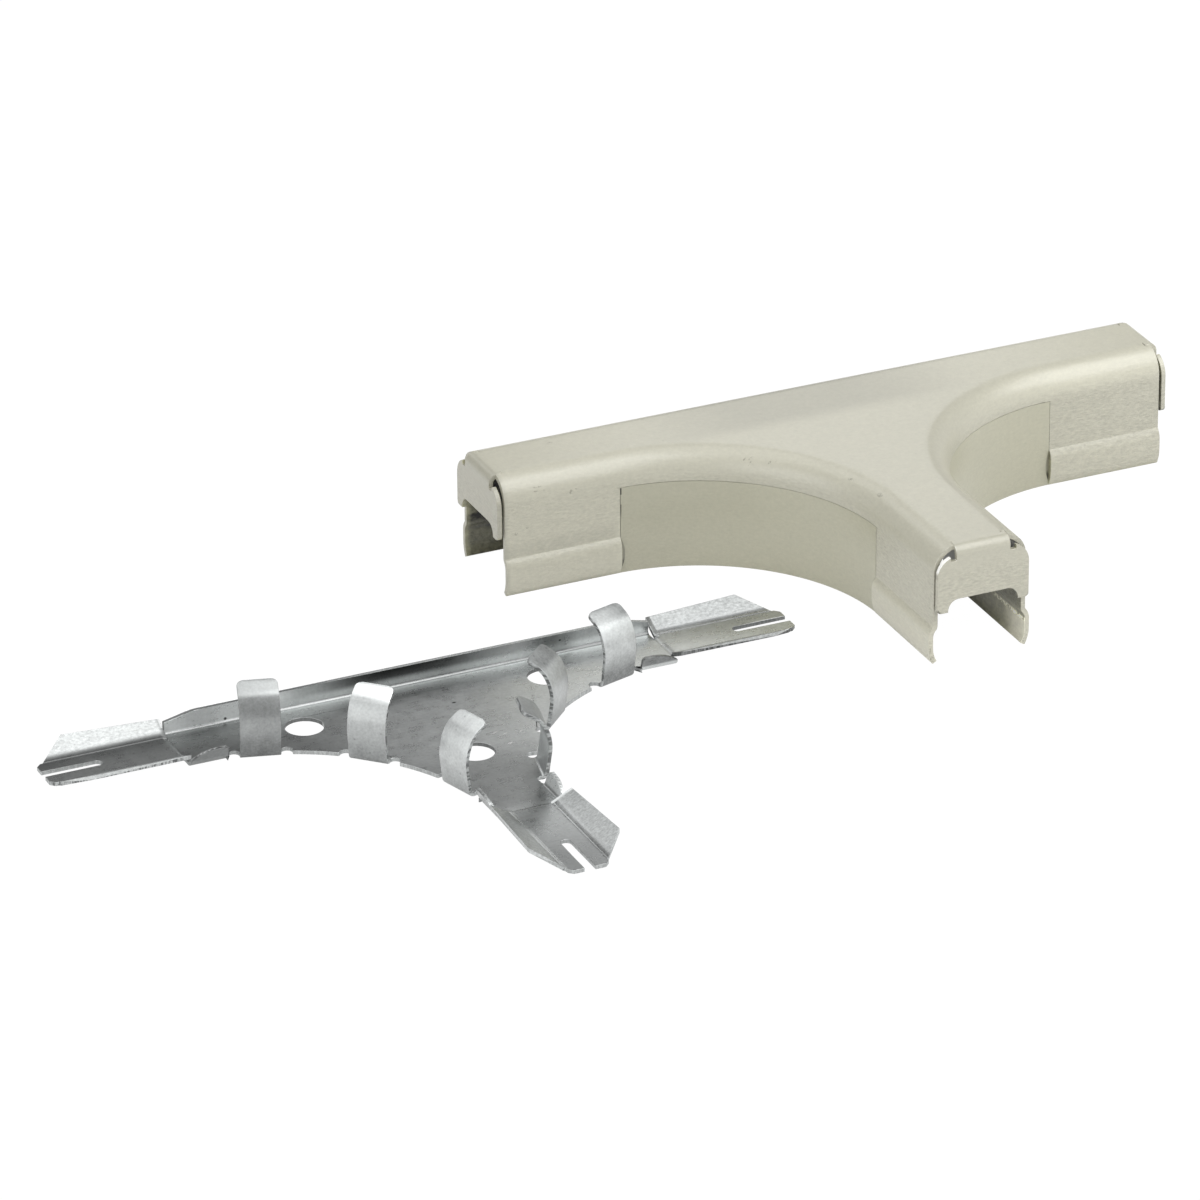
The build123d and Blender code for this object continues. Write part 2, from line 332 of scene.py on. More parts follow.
PLATE_SCRATCHES = (
    ((-43.6, -8.4, 0.8), (0.9, 0.14, 0.2), 20.0),
    ((-42.0, -9.6, 0.8), (0.7, 0.16, 0.2), 20.0),
    ((-42.7, -13.6, 0.8), (0.6, 0.25, 0.2), 20.0),
    ((-38.9, -9.9, 0.8), (0.5, 0.14, 0.2), 35.0),
)


def cover_finish(sizes):
    """Satin putty enamel on the cover: orange peel on its upright faces, painted shade inside, scuffed
    outside, with painted light and shade from place to place.
    """
    m = Material("putty enamel")
    x, y, z = m.axes(m.place)
    upright = z.until(17.5, 21.5)
    front = y.until(-16.2, -12.0)
    right = x.past(96.0, 106.0)
    foot = z.until(6.5, 8.5)
    rough_part = 0.25 + upright * (0.5 + 0.25 * front.high(right * 0.7) - 0.3 * foot * (1.0 - right))
    broad, fine, tone, height = enamel_grain(m, rough_part)
    # Painted shade: the flap at the left end is darker.
    tone = tone * (0.8 + 0.2 * x.past(-18.2, -16.5))
    # Painted light and shade on the outside, from place to place.
    tone = tone * (1.0 + painted_shading(x, y, z, upright, foot))
    # Painted shade on the inner faces, warmer in hue, except where they are lighter near the mouths.
    inner = inside_cover(m)
    shade_taken, painted = inside_shade(m, x, y, z, broad, fine)
    colour = enamel_colour(m, sizes, tone - inner * shade_taken, inner * (1.0 - painted))
    scuffs_and_shade = m.marks(COVER_SCUFFS) * m.noise(m.place, 2600.0, 1.0).smooth(0.4, 0.56)
    colour = m.blend(scuffs_and_shade * 0.6, colour, SCUFF)
    # Painted highlight on the upper rim at the left of the branch's flap.
    colour = m.blend(rim_highlight(m, x, y), colour, HIGHLIGHT_CREAM)
    return satin(m, colour, fine, height)


def strip_finish(sizes):
    """The same enamel on the throat strips, smooth, with painted shade of the gap at the strips' ends."""
    m = Material("putty enamel strips")
    x, y, z = m.axes(m.place)
    _, fine, tone, height = enamel_grain(m, 0.25)
    # Painted shade: the left strip is darker towards the left run's end.
    colour = enamel_colour(m, sizes, tone * (0.8 + 0.13 * x.past(6.0, 44.0)), 0.4)
    colour = m.blend(strip_shadow(x, y, z), colour, SEAM_AND_GAP_SHADE)
    return satin(m, colour, fine, height)


def enamel_grain(m, rough_part):
    """Broad and fine grain of the enamel, its tone, and the height of its orange peel."""
    broad = m.noise(m.place, 60.0, 2.0)
    fine = m.noise(m.place, 1500.0, 2.0, 0.6)
    peel = m.noise(m.stretched(m.place, (850.0, 850.0, 2600.0)), 1.0, 3.0, 0.65)
    tone = 0.93 + 0.04 * broad + 0.16 * (fine - 0.5) + 0.7 * (peel - 0.5) * rough_part
    return broad, fine, tone, 0.0002 * (peel * rough_part) + 0.000010 * fine


def enamel_colour(m, sizes, tone, warmth):
    """Colour of the enamel at a tone, yellower by its warmth, with a few dark specks."""
    red, green, blue = sizes.paint
    cool = m.tint((red, green, blue, 1.0), tone)
    warm = m.tint((red, green, 0.84 * blue, 1.0), tone)
    speck = 1.0 - m.cells(m.place, 210.0).smooth(0.035, 0.07)
    speck = speck * m.noise(m.place, 35.0, 0.0).smooth(0.6, 0.68)
    return m.blend(speck * 0.35, m.blend(warmth, cool, warm), SPECK)


def satin(m, colour, fine, height):
    """Ends a tree in satin enamel."""
    roughness = 0.27 + 0.08 * fine
    return m.surface(
        Base_Color=colour, Roughness=roughness, bump=height, Metallic=0.0, Specular_IOR_Level=0.95
    )


def painted_shading(x, y, z, upright, foot):
    """Painted light and shade on the cover: a painted highlight on the top and its shoulder towards the
    right, painted shade on the top's middle and above the bead's crease at the left, and a foot lighter
    on the branch and at the right and darker at the left.
    """
    above = 1.0 - upright
    middle = x.past(10.0, 40.0) * x.until(60.0, 90.0) * y.past(44.0, 50.0)
    east = x.past(70.0, 108.0)
    shoulder = z.until(23.2, 24.3)
    west = x.until(4.0, 7.0)
    branch = y.until(2.0, 24.0)
    crease = z.past(7.8, 8.2) * z.until(9.0, 12.0)
    along_foot = foot * (0.14 * branch - 0.04 * west + 0.06 * east) - 0.12 * crease * west
    return above * ((0.09 + 0.15 * shoulder) * east - 0.2 * middle) + along_foot


def inside_shade(m, x, y, z, broad, fine):
    """Painted shade taken from the tone of the cover's inner faces, and mask of where they are lighter
    near the mouths.
    """
    west = x.until(0.0, 12.0)
    # How far a place lies inside the branch's mouth and inside the left mouth.
    depth = y - (COVER_CENTRE.y - ARM_REACH)
    reach = x - (COVER_CENTRE.x - ARM_REACH)
    # The bead behind the branch's mouth is lighter towards the mouth, and the crease above it has light
    # specks.
    lighter_bead = depth.until(3.5, 10.5) * z.until(4.8, 5.4)
    crease_specks = m.noise(m.place, 1300.0, 2.0, 0.7).smooth(0.42, 0.52)
    crease = (z - 5.3 * MM).size().until(0.15, 0.65) * depth.until(9.0, 16.0)
    rim = (0.6 * reach.until(0.2, 1.4) + 0.34 * z.past(9.0, 10.0)) * reach.until(1.2, 3.0) * west
    relief = z.past(20.2, 21.2) * depth.low(reach).until(1.2, 2.6)
    light = (0.86 * lighter_bead + 1.6 * crease * crease_specks) * (1.0 - west) + rim + 0.3 * relief
    # Painted shade: the inside is darker in the left mouth, higher up, and above the bead.
    dark = (0.32 + 0.46 * west) * (0.72 + 0.38 * z.past(4.0, 14.0))
    dark = dark + z.past(5.4, 6.0) * (0.3 * (1.0 - west) + 0.14 * z.until(9.2, 10.0) * west)
    mottle = m.noise(m.place, 420.0, 3.0, 0.7)
    shade_taken = dark + 0.3 * (broad - 0.5) + 0.5 * (fine - 0.5) + 0.8 * (mottle - 0.5) - light
    return shade_taken, lighter_bead.high(crease * crease_specks) * (1.0 - west)


def rim_highlight(m, x, y):
    """Mask of a painted highlight on the upper rim at the left of the branch's flap, on faces that slant
    up and to the left.
    """
    across, _, up = m.facing()
    slanted = (-(across * up)).smooth(0.12, 0.3)
    return slanted * y.until(-17.1, -16.7) * x.until(47.6, 48.4) * 0.9


def inside_cover(m):
    """Mask of the cover's inner faces: those that face its own middle or the floor."""
    x, y, _ = m.axes_from(COVER_CENTRE)
    across, along, up = m.facing()
    inward = (-(x * across)).high(-(y * along))
    return inward.past(3.0, 5.0).high((-up).smooth(0.3, 0.6))


def strip_shadow(x, y, z):
    """Painted shade of the gap beside a strip's run end, where the strip springs off the wall below the
    bead's top, darkest low down, with dark open lengths of the seam.
    """
    left_seam = x - (COVER_CENTRE.x - SEAM_REACH)
    right_seam = (COVER_CENTRE.x + SEAM_REACH) - x
    level = (z - 4.1 * MM) / (3.5 * MM)
    deep = 0.45 + 0.5 * (z - 2.1 * MM).size().until(0.2, 1.4)
    left, right = (
        (reach * MM * (1.0 - level * level) - seam).past(0.0, 0.12) * deep
        for seam, reach in ((left_seam, 0.95), (right_seam, 0.72))
    )
    # Short open lengths of the seam at the top of the left strip.
    upper = z.past(16.7, 16.9) * z.until(18.1, 18.3)
    lower = z.past(11.0, 13.6) * z.until(14.6, 14.8)
    open_seam = left_seam.size().until(0.16, 0.3) * upper.high(lower * 0.6)
    return right.high(left).high(open_seam) * y.past(44.0, 44.3)


def zinc_finish(sizes):
    """Broad faces of the plated sheet: cool grey, clouded, with pits, streaks and rubbed wings, and with
    painted reflection and painted shade from place to place.
    """
    m = Material("plated sheet")
    east, y, z = m.axes_from(BASE_CENTRE)
    x = east.size()
    south = -y
    cloud = m.noise(m.place, 55.0, 3.0, 0.6)
    mottle = m.noise(m.place, 380.0, 3.0, 0.65)
    fine = m.noise(m.place, 1700.0, 2.0, 0.6)
    streak = m.noise(m.stretched(m.place, (160.0, 1600.0, 1600.0)), 1.0, 3.0, 0.6)
    rub = m.noise(m.stretched(m.place, (1500.0, 2400.0, 2400.0)), 1.0, 2.0, 0.7)
    tone = 0.84 + 0.20 * cloud + 0.24 * (mottle - 0.5) + 0.30 * (fine - 0.5) + 0.16 * (streak - 0.5)

    # Parts of the base: tongues, their wings, the back flange, the ears and the fold behind.
    joggle = TONGUE_ROOT - JOGGLE
    tongue = x.smooth(joggle, TONGUE_ROOT).high(south.smooth(joggle, TONGUE_ROOT))
    body = 1.0 - tongue
    wing = tongue * z.past(1.6, 2.2)
    flange = body * y.past(6.0, 6.3)
    raised = body * z.past(1.0, 1.5)
    fold = body * y.past(5.5, 5.9) * z.until(1.0, 1.25)
    branchward = south.past(20.0, 30.0)
    east_end = east.past(-40.0, 40.0)

    # Painted reflection: the flat is darker at its left end and near the branch, and a faint painted dark
    # line marks each joggle.
    reflection_dimming = 0.48 + 0.57 * east.past(-38.0, -8.0)
    reflection_dimming = reflection_dimming - 0.16 * east.until(-38.0, -26.0) * y.past(-2.0, 5.0)
    near_branch = south.past(20.0, 34.0) * south.until(46.0, 50.0)
    reach = x.high(south)
    step = reach.past(49.5, 49.7) * reach.until(50.0, 50.3)
    step = step * (0.14 + 0.36 * branchward) * (1.0 - wing)
    kept = wing.high(flange)
    tone = tone * (reflection_dimming + kept * (1.0 - reflection_dimming)) * (1.0 - 0.34 * near_branch) * (1.0 - step)

    # Painted reflection: the tongues' flats are brighter at the left and darker towards the branch's tip.
    lit = 0.14 + 0.36 * east.until(-50.0, -45.0) - 0.3 * y.past(-4.0, 4.0)
    lit = lit - branchward * (0.26 + 0.3 * south.past(58.0, 72.0))
    tone = tone * (1.0 + tongue * (1.0 - wing) * lit)

    # Painted shade: the flange darkens towards its middle and its top. The wings are rubbed bright and
    # speckled, with painted reflection brighter at the left than at the right.
    scuffs_and_shade = east.past(-46.0, -4.0) - 0.42 * east.past(0.0, 30.0)
    upper = z.past(1.9, 3.2) * east.past(-28.0, -10.0)
    scuffs_and_shade = scuffs_and_shade + upper * (0.42 - 0.12 * east_end) + 0.1 * z.past(1.5, 4.5) - 0.5
    tone = tone * (1.0 - flange * scuffs_and_shade)
    tone = tone + wing * (0.9 * (rub - 0.5) + 0.05 - 0.22 * east.past(-30.0, 30.0))

    # Painted shade darkens the run's ears and lies along the fold, and painted light brightens the right
    # ear at the branch.
    ear = raised * y.until(0.0, 2.0) * (1.0 - branchward) * (0.1 + 0.52 * east.past(-20.0, 20.0))
    light_ear = raised * east.past(2.0, 4.0) * branchward
    tone = tone * (1.0 - fold * (0.25 + 0.45 * east_end)) - ear + 0.35 * light_ear

    colour = m.tint((*sizes.zinc, 1.0), tone)
    colour = m.blend(m.marks(PLATE_PITS) * 0.9, colour, PIT)
    colour = m.blend(m.marks(PLATE_SCRATCHES) * 0.9, colour, WHITE)
    roughness = sizes.zinc_roughness + 0.14 * (mottle - 0.5) + 0.10 * (streak - 0.5) + 0.1 * wing
    height = 0.000002 * fine + 0.000010 * mottle - tongue * wing_bend(x, y)
    # The left of the flange and the light ear are less metallic, so that they look lighter.
    metal = 1.0 - 0.5 * flange * east.until(-38.0, -16.0) - 0.5 * light_ear
    return m.surface(Base_Color=colour, Metallic=metal, Roughness=roughness, bump=height)


def wing_bend(x, y, reach=1.0 * MM, slope=0.51):
    """Height that makes each wing turn up gradually from the strip between the wings."""
    branch = (-y).smooth(TONGUE_ROOT - JOGGLE, TONGUE_ROOT)
    across = y.size() + branch * (x - y.size())
    out = ((across - 4.3 * MM) / reach).clamp()
    return 0.5 * reach * slope * (1.0 - (1.0 - out) * (1.0 - out))


def finger_finish(sizes):
    """Spring fingers: the same plating, each in its own tone of painted reflection, streaked along its
    length.
    """
    m = Material("rubbed fingers")
    grain = m.node("ShaderNodeUVMap", {"uv_map": "grain"})
    _, depth, _ = m.axes(grain)
    east, y, _ = m.axes_from(BASE_CENTRE)
    # Each finger's tone of painted reflection, set by the finger rule.
    wear = m.node("ShaderNodeAttribute", {"attribute_name": "wear"}, (), "Fac")
    streak = m.noise(m.stretched(grain, (1400.0, 160.0, 0.0)), 1.0, 3.0, 0.6)
    fine = m.noise(m.place, 2100.0, 2.0, 0.6)
    mottle = m.noise(m.place, 300.0, 3.0, 0.65)

    # Single fingers, counted from the left, and parts of a finger, by the way along it.
    first = east.until(-31.0, -29.0)
    second = (1.0 - first) * east.until(-12.5, -11.0)
    fourth = east.past(11.0, 13.0) * east.until(28.0, 30.0)
    last = east.past(2.0, 4.0) * (-y).past(29.0, 30.0)
    others = 1.0 - last
    foot = depth.until(2.0, 8.0)
    band = depth.past(8.6, 10.6) * depth.until(12.4, 13.2)
    end = depth.past(12.2, 13.4)

    # Painted reflection, finger by finger: a painted highlight at the left throat's tips and painted
    # shade at the right throat's, painted shade at the feet, a band along the curl lighter on most
    # fingers and darker on the first, and the lower part of the last finger lighter.
    tip = end * (0.28 - 0.42 * east.past(4.0, 9.0) + 0.5 * second - 0.05 * fourth) * others
    foot = foot * (0.24 + 0.24 * east.past(18.0, 28.0)) * others
    tone = wear * (0.80 + 0.18 * streak + 0.40 * (fine - 0.5) + 0.42 * (mottle - 0.5)) + tip - foot
    tone = tone + band * (0.16 - 0.28 * first - 0.1 * fourth) * others
    tone = tone + 0.45 * last * depth.until(7.0, 9.0)
    colour = m.tint((*sizes.zinc, 1.0), tone)
    pit = 1.0 - m.cells(m.place, 520.0).smooth(0.06, 0.18)
    pit = pit * m.noise(m.place, 140.0, 1.0).smooth(0.48, 0.6)
    colour = m.blend(pit * 0.4, colour, FINGER_PIT)
    roughness = sizes.zinc_roughness + 0.07 + 0.16 * (mottle - 0.5) + 0.12 * (streak - 0.5)
    roughness = roughness + 0.2 * band + 0.16 * end * (1.0 - second)
    height = 0.000006 * fine + 0.000012 * streak
    return m.surface(Base_Color=colour, Metallic=1.0, Roughness=roughness, bump=height)


def sheared_finish(sizes, name="sheared edge", light=0.78, grain=(2600.0, 2600.0, 500.0), teeth=0.2):
    """Sheared edges of the sheet: finely serrated across the thickness, most on the tongues."""
    m = Material(name)
    east, y, z = m.axes_from(BASE_CENTRE)
    torn = m.noise(m.stretched(m.place, grain), 1.0, 2.0, 0.6)
    fine = m.noise(m.place, 3500.0, 1.0)
    ragged = east.size().smooth(TONGUE_ROOT, TONGUE_ROOT + 2.0 * MM) * y.size().past(3.0, 4.0)
    tone = light - (teeth + 0.4 * ragged) * (1.0 - torn.smooth(0.4, 0.6)) + 0.1 * fine
    # Edges are darkest in the screw holes, which is painted shade, and darker at the right and along the
    # left of the flange.
    for hole in ((-SCREW_REACH, 0.0), (SCREW_REACH, 0.0), (0.0, -SCREW_REACH)):
        middle = BASE_CENTRE + Vector((*hole, BASE_SHEET / 2))
        away = m.vector("LENGTH", m.vector("SUBTRACT", m.place, middle), output="Value")
        tone = tone * (0.4 + 0.6 * away.past(4.0, 4.2))
    flange = y.past(5.0, 6.0) * z.past(1.4, 2.0)
    tone = tone * (1.0 - 0.5 * flange * east.until(-24.0, -6.0))
    tone = tone * (1.0 - 0.5 * east.past(30.0, 50.0) * (1.0 - flange))
    colour = m.tint((*sizes.zinc, 1.0), tone)
    height = 0.00003 * torn + 0.00001 * fine
    return m.surface(Base_Color=colour, Metallic=0.9, Roughness=0.42 + 0.2 * fine, bump=height)


# Mesh building


def sheet_copy(node, sheet, drop=None):
    """Merged copy of a CAD node's mesh. Faces of the sheet's thickness get material 1."""
    bm = bmesh.new()
    bm.from_mesh(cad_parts[node].data)
    bmesh.ops.remove_doubles(bm, verts=bm.verts, dist=TINY)
    if drop:
        gone = [face for face in bm.faces if drop(face)]
        bmesh.ops.delete(bm, geom=gone, context="FACES")
    tree = BVHTree.FromBMesh(bm)
    close = 1.35 * sheet
    for face in bm.faces:
        # A broad face has the sheet's other side close behind it.
        inward = -face.normal
        _, _, hit, away = tree.ray_cast(face.calc_center_median() + inward * TINY, inward)
        face.material_index = int(hit is not None and away >= close)
    return bm


def quads(bm):
    """Pairs the flat triangles of a sheet's faces into quads."""
    bmesh.ops.join_triangles(
        bm,
        faces=bm.faces,
        cmp_materials=True,
        angle_face_threshold=math.radians(1.0),
        angle_shape_threshold=math.pi,
    )


def finish_edges(piece, width, angle=32.0):
    """Rounds the sharp edges a little, closes cut borders and evens the normals.

    A corner where the rounding strays goes back to where it was, and nothing sinks into the floor.
    """
    bevel = piece.modifiers.new("rounding", "BEVEL")
    bevel.width = width
    bevel.segments = 2
    bevel.limit_method = "ANGLE"
    bevel.angle_limit = math.radians(angle)
    bevel.use_clamp_overlap = False
    bevel.miter_outer = "MITER_ARC"
    bevel.material = -1
    corners = KDTree(len(piece.data.vertices))
    for vertex in piece.data.vertices:
        corners.insert(vertex.co, vertex.index)
    corners.balance()
    applied(piece)
    astray = 2.5 * width
    for vertex in piece.data.vertices:
        corner, _, away = corners.find(vertex.co)
        if away > astray:
            vertex.co = corner
        vertex.co.z = max(vertex.co.z, 0.0)
    bm = bmesh.new()
    bm.from_mesh(piece.data)
    bmesh.ops.holes_fill(bm, edges=[edge for edge in bm.edges if edge.is_boundary], sides=0)
    even_normals(bm, piece)


def flat_groups(bm):
    """Number of the flat stretch that each face belongs to, and the area of each stretch."""
    flat = math.cos(math.radians(0.4))
    group, areas = {}, []
    for seed in bm.faces:
        if seed in group:
            continue
        group[seed] = len(areas)
        waiting, area = [seed], 0.0
        while waiting:
            face = waiting.pop()
            area += face.calc_area()
            for edge in face.edges:
                for other in edge.link_faces:
                    if other not in group and other.normal.dot(face.normal) > flat:
                        group[other] = len(areas)
                        waiting.append(other)
        areas.append(area)
    return group, areas


def even_normals(bm, piece, crease=25.0, fold=55.0, broad=3.0e-6):
    """Flat stretches keep their normal up to the bends beside them.

    An edge is sharp where it turns by more than fold, or by more than crease between two stretches
    that are both broader than broad, in square metres.
    """
    bmesh.ops.recalc_face_normals(bm, faces=bm.faces)
    group, areas = flat_groups(bm)

    def sharp(edge):
        if len(edge.link_faces) != 2:
            return True
        turn = math.degrees(edge.calc_face_angle(0.0))
        both = min(areas[group[face]] for face in edge.link_faces)
        return turn > fold or (turn > crease and both > broad)

    hard = {edge for edge in bm.edges if sharp(edge)}
    for face in bm.faces:
        face.smooth = True
    for edge in bm.edges:
        edge.smooth = edge not in hard
    normals = []
    for face in bm.faces:
        for loop in face.loops:
            fan, waiting = [face], [face]
            while waiting:
                here = waiting.pop()
                for edge in here.edges:
                    if loop.vert in edge.verts and edge not in hard:
                        for other in edge.link_faces:
                            if other not in fan:
                                fan.append(other)
                                waiting.append(other)
            total = Vector()
            for other in fan:
                total += other.normal * areas[group[other]] ** 2
            normals.append(total.normalized() if total.length > 0.0 else face.normal.copy())
    bm.to_mesh(piece.data)
    bm.free()
    piece.data.normals_split_custom_set(normals)


def applied(piece):
    """The piece with its modifiers made into plain mesh."""
    graph = bpy.context.evaluated_depsgraph_get()
    graph.update()
    shaped = piece.evaluated_get(graph)
    mesh = bpy.data.meshes.new_from_object(shaped, preserve_all_data_layers=True, depsgraph=graph)
    old = piece.data
    piece.modifiers.clear()
    piece.data = mesh
    bpy.data.meshes.remove(old)
    mesh.name = piece.name
    return piece


def new_piece(name, mesh):
    """An object at the origin, in the scene."""
    piece = bpy.data.objects.new(name, mesh)
    bpy.context.scene.collection.objects.link(piece)
    return piece


def piece_from(bm, name, materials):
    """A smooth-shaded object made from a mesh in progress."""
    mesh = bpy.data.meshes.new(name)
    for face in bm.faces:
        face.smooth = True
    bm.to_mesh(mesh)
    bm.free()
    for material in materials:
        mesh.materials.append(material)
    return new_piece(name, mesh)


# Rules made of geometry nodes


class Rule(Graph):
    """A geometry tree with named inputs for its sizes. An input without a value is a material."""

    KINDS = {float: "NodeSocketFloat", int: "NodeSocketInt", type(None): "NodeSocketMaterial"}

    def __init__(self, name, inputs):
        tree = bpy.data.node_groups.new(name, "GeometryNodeTree")
        tree.interface.new_socket("Geometry", in_out="INPUT", socket_type="NodeSocketGeometry")
        for label, value in inputs.items():
            socket = tree.interface.new_socket(label, in_out="INPUT", socket_type=self.KINDS[type(value)])
            if value is not None:
                socket.default_value = value
        tree.interface.new_socket("Geometry", in_out="OUTPUT", socket_type="NodeSocketGeometry")
        super().__init__(tree)
        self.source = self.node("NodeGroupInput")

    def size(self, label):
        """The value of one of the tree's named inputs."""
        return self.source.output(label)

    def line(self, count):
        """A curve of evenly spaced points, and how far along it each lies, from 0 to 1."""
        ends = {"Start": (0, 0, 0), "End": (1, 0, 0)}
        line = self.node("GeometryNodeCurvePrimitiveLine", {"mode": "POINTS"}, ends)
        line = self.node("GeometryNodeResampleCurve", None, {"Curve": line, "Count": count})
        return line, self.node("GeometryNodeSplineParameter", None, (), "Factor")

    def moved(self, geometry, *place):
        """The geometry with its points at a new x, y and z."""
        place = self.node("ShaderNodeCombineXYZ", None, place)
        return self.node("GeometryNodeSetPosition", None, {"Geometry": geometry, "Position": place})

    def stored(self, geometry, name, value, kind="FLOAT", domain="POINT"):
        """The geometry with a named attribute."""
        settings = {"data_type": kind, "domain": domain}
        values = {"Geometry": geometry, "Name": name, "Value": value}
        return self.node("GeometryNodeStoreNamedAttribute", settings, values)

    def swept(self, line, width, height, rounding):
        """A rectangle with rounded corners swept along a curve and closed at its ends."""
        sides = {"Width": width, "Height": height}
        section = self.node("GeometryNodeCurvePrimitiveQuadrilateral", {"mode": "RECTANGLE"}, sides)
        corners = {"Curve": section, "Radius": rounding, "Count": 3}
        section = self.node("GeometryNodeFilletCurve", {"mode": "POLY"}, corners)
        ends = {"Curve": line, "Profile Curve": section, "Fill Caps": True}
        return self.node("GeometryNodeCurveToMesh", None, ends)

    def set_out(self, points, strip, turn, centre):
        """A strip set out on points, each turned about its upright axis, round a piece's crossing."""
        spin = self.node("ShaderNodeCombineXYZ", None, (0.0, 0.0, turn))
        places = {"Points": points, "Instance": strip, "Rotation": spin}
        strips = self.node("GeometryNodeInstanceOnPoints", None, places)
        shift = {"Geometry": strips, "Translation": tuple(centre)}
        strips = self.node("GeometryNodeTransform", None, shift)
        return self.node("GeometryNodeRealizeInstances", None, {"Geometry": strips})

    def clad(self, geometry, material, selection=None):
        """The geometry with a material on its selected faces."""
        values = {"Geometry": geometry, "Selection": selection, "Material": self.size(material)}
        return self.node("GeometryNodeSetMaterial", None, values)

    def ended(self, geometry):
        """This rule, with its tree's output set."""
        self.node("NodeGroupOutput", None, (geometry,))
        return self

    def run(self, name, values):
        """Plain mesh piece made by this tree, with each named input set by its identifier."""
        piece = new_piece(name, bpy.data.meshes.new(name))
        modifier = piece.modifiers.new("rule", "NODES")
        modifier.node_group = self.tree
        for item in self.tree.interface.items_tree:
            if item.item_type == "SOCKET" and item.in_out == "INPUT" and item.name in values:
                modifier[item.identifier] = values[item.name]
        return applied(piece)


def finger_rule(sizes):
    """Spring fingers round both throats: a strip swept along its bends, set out round two arcs."""
    inputs = {
        "Sheet": BASE_SHEET,
        "Finger width": sizes.finger_width,
        "Bend radius": 0.6 * MM,
        "Lean": sizes.finger_lean,
        "Upright": sizes.finger_upright,
        "Curl radius": sizes.curl_radius,
        "Curl angle": sizes.curl_angle,
        "Hook radius": sizes.hook_radius,
        "Hook angle": sizes.hook_angle,
        "Tip": sizes.finger_tip,
        "Tip corner": sizes.finger_corner,
        "Edge rounding": sizes.edge_rounding,
        "Ring radius": sizes.ring_radius,
        "Throat centre": THROAT_CENTRE,
        "First angle": sizes.first_angle,
        "Angle step": sizes.angle_step,
        "Last shift": sizes.last_shift,
        "Last twist": sizes.last_twist,
        # Tones of painted reflection, finger by finger round each throat.
        "Left wear": 0.62,
        "Left wear step": 0.2,
        "Right wear": 1.0,
        "Right wear step": -0.13,
        "Fingers per throat": FINGERS,
        "Broad finish": None,
        "Edge finish": None,
    }
    g = Rule("spring fingers", inputs)
    sheet = g.size("Sheet")
    lean, curl, hook = g.size("Lean"), g.size("Curl angle"), g.size("Hook angle")
    quarter = math.pi / 2

    # Each stretch: length, heading at its start, radius of the middle of the sheet.
    first_radius = g.size("Bend radius") + sheet * 0.5
    curl_radius = g.size("Curl radius") + sheet * 0.5
    hook_radius = g.size("Hook radius") + sheet * 0.5
    first_turn = quarter - lean
    curl_turn = lean + curl
    stretches = [
        (first_radius * first_turn, None, first_radius),
        (g.size("Upright"), first_turn, None),
        (curl_radius * curl_turn, first_turn, curl_radius),
        (hook_radius * hook, quarter + curl, hook_radius),
        (g.size("Tip"), quarter + curl + hook, None),
    ]
    length = sum((reach for reach, _, _ in stretches[1:]), stretches[0][0])
    line, along = g.line(FINGER_POINTS)
    along = along * length
    x, z, done = -BEND_OUTSIDE, sheet * 0.5, None
    for reach, heading, radius in stretches:
        way = along if done is None else along - done
        way = way.high(0.0).low(reach)
        if radius is None:
            x = x + way * heading.cos()
            z = z + way * heading.sin()
        else:
            start = 0.0 if heading is None else heading
            turned = way / radius + start
            sine = 0.0 if heading is None else heading.sin()
            cosine = 1.0 if heading is None else heading.cos()
            x = x + radius * (turned.sin() - sine)
            z = z + radius * (cosine - turned.cos())
        done = reach if done is None else done + reach
    line = g.moved(g.stored(line, "along", along), x, 0.0, z)
    strip = g.swept(line, g.size("Finger width"), sheet, g.size("Edge rounding"))

    # The two corners at the tip are rounded by narrowing the strip there.
    x, across, z = g.axes(g.node("GeometryNodeInputPosition"))
    named = {"data_type": "FLOAT"}
    depth = g.node("GeometryNodeInputNamedAttribute", named, {"Name": "along"}, "Attribute")
    corner = g.size("Tip corner")
    half = g.size("Finger width") * 0.5
    close = (corner - (length - depth)).high(0.0)
    narrow = (half - corner + (corner * corner - close * close).high(0.0) ** 0.5) / half
    grain = g.node("ShaderNodeCombineXYZ", None, (across, depth, 0.0))
    strip = g.stored(strip, "grain", grain, "FLOAT2", "CORNER")
    strip = g.moved(strip, x, across * narrow, z)
    # Sheared are the faces that look sideways and the tip's end.
    _, sideways, _ = g.axes(g.node("GeometryNodeInputNormal"))
    edge = (sideways.size() > 0.8) + (depth > (length - TINY))
    strip = g.clad(g.clad(strip, "Broad finish"), "Edge finish", edge > 0.5)

    # Points round each throat, each turned to face that throat's centre.
    count = g.size("Fingers per throat")
    points = g.node("GeometryNodePoints", None, {"Count": count * THROATS})
    index = g.node("GeometryNodeInputIndex")
    right = index > (count - 0.5)
    side = right * 2.0 - 1.0
    step = index - right * count
    last = index > (count * THROATS - 1.5)
    angle = g.size("First angle") + step * g.size("Angle step") + last * g.size("Last shift")
    # Each finger's tone of painted reflection steps along its throat.
    left_shade = g.size("Left wear") + step * g.size("Left wear step")
    right_shade = g.size("Right wear") + step * g.size("Right wear step")
    wear = left_shade + right * (right_shade - left_shade)
    ring, centre = g.size("Ring radius"), g.size("Throat centre")
    points = g.stored(points, "wear", wear)
    points = g.moved(points, side * (centre - ring * angle.sin()), ring * angle.cos() - centre, 0.0)
    turn = (-angle.cos()).math("ARCTAN2", side * angle.sin())
    return g.ended(g.set_out(points, strip, turn + last * g.size("Last twist"), BASE_CENTRE))


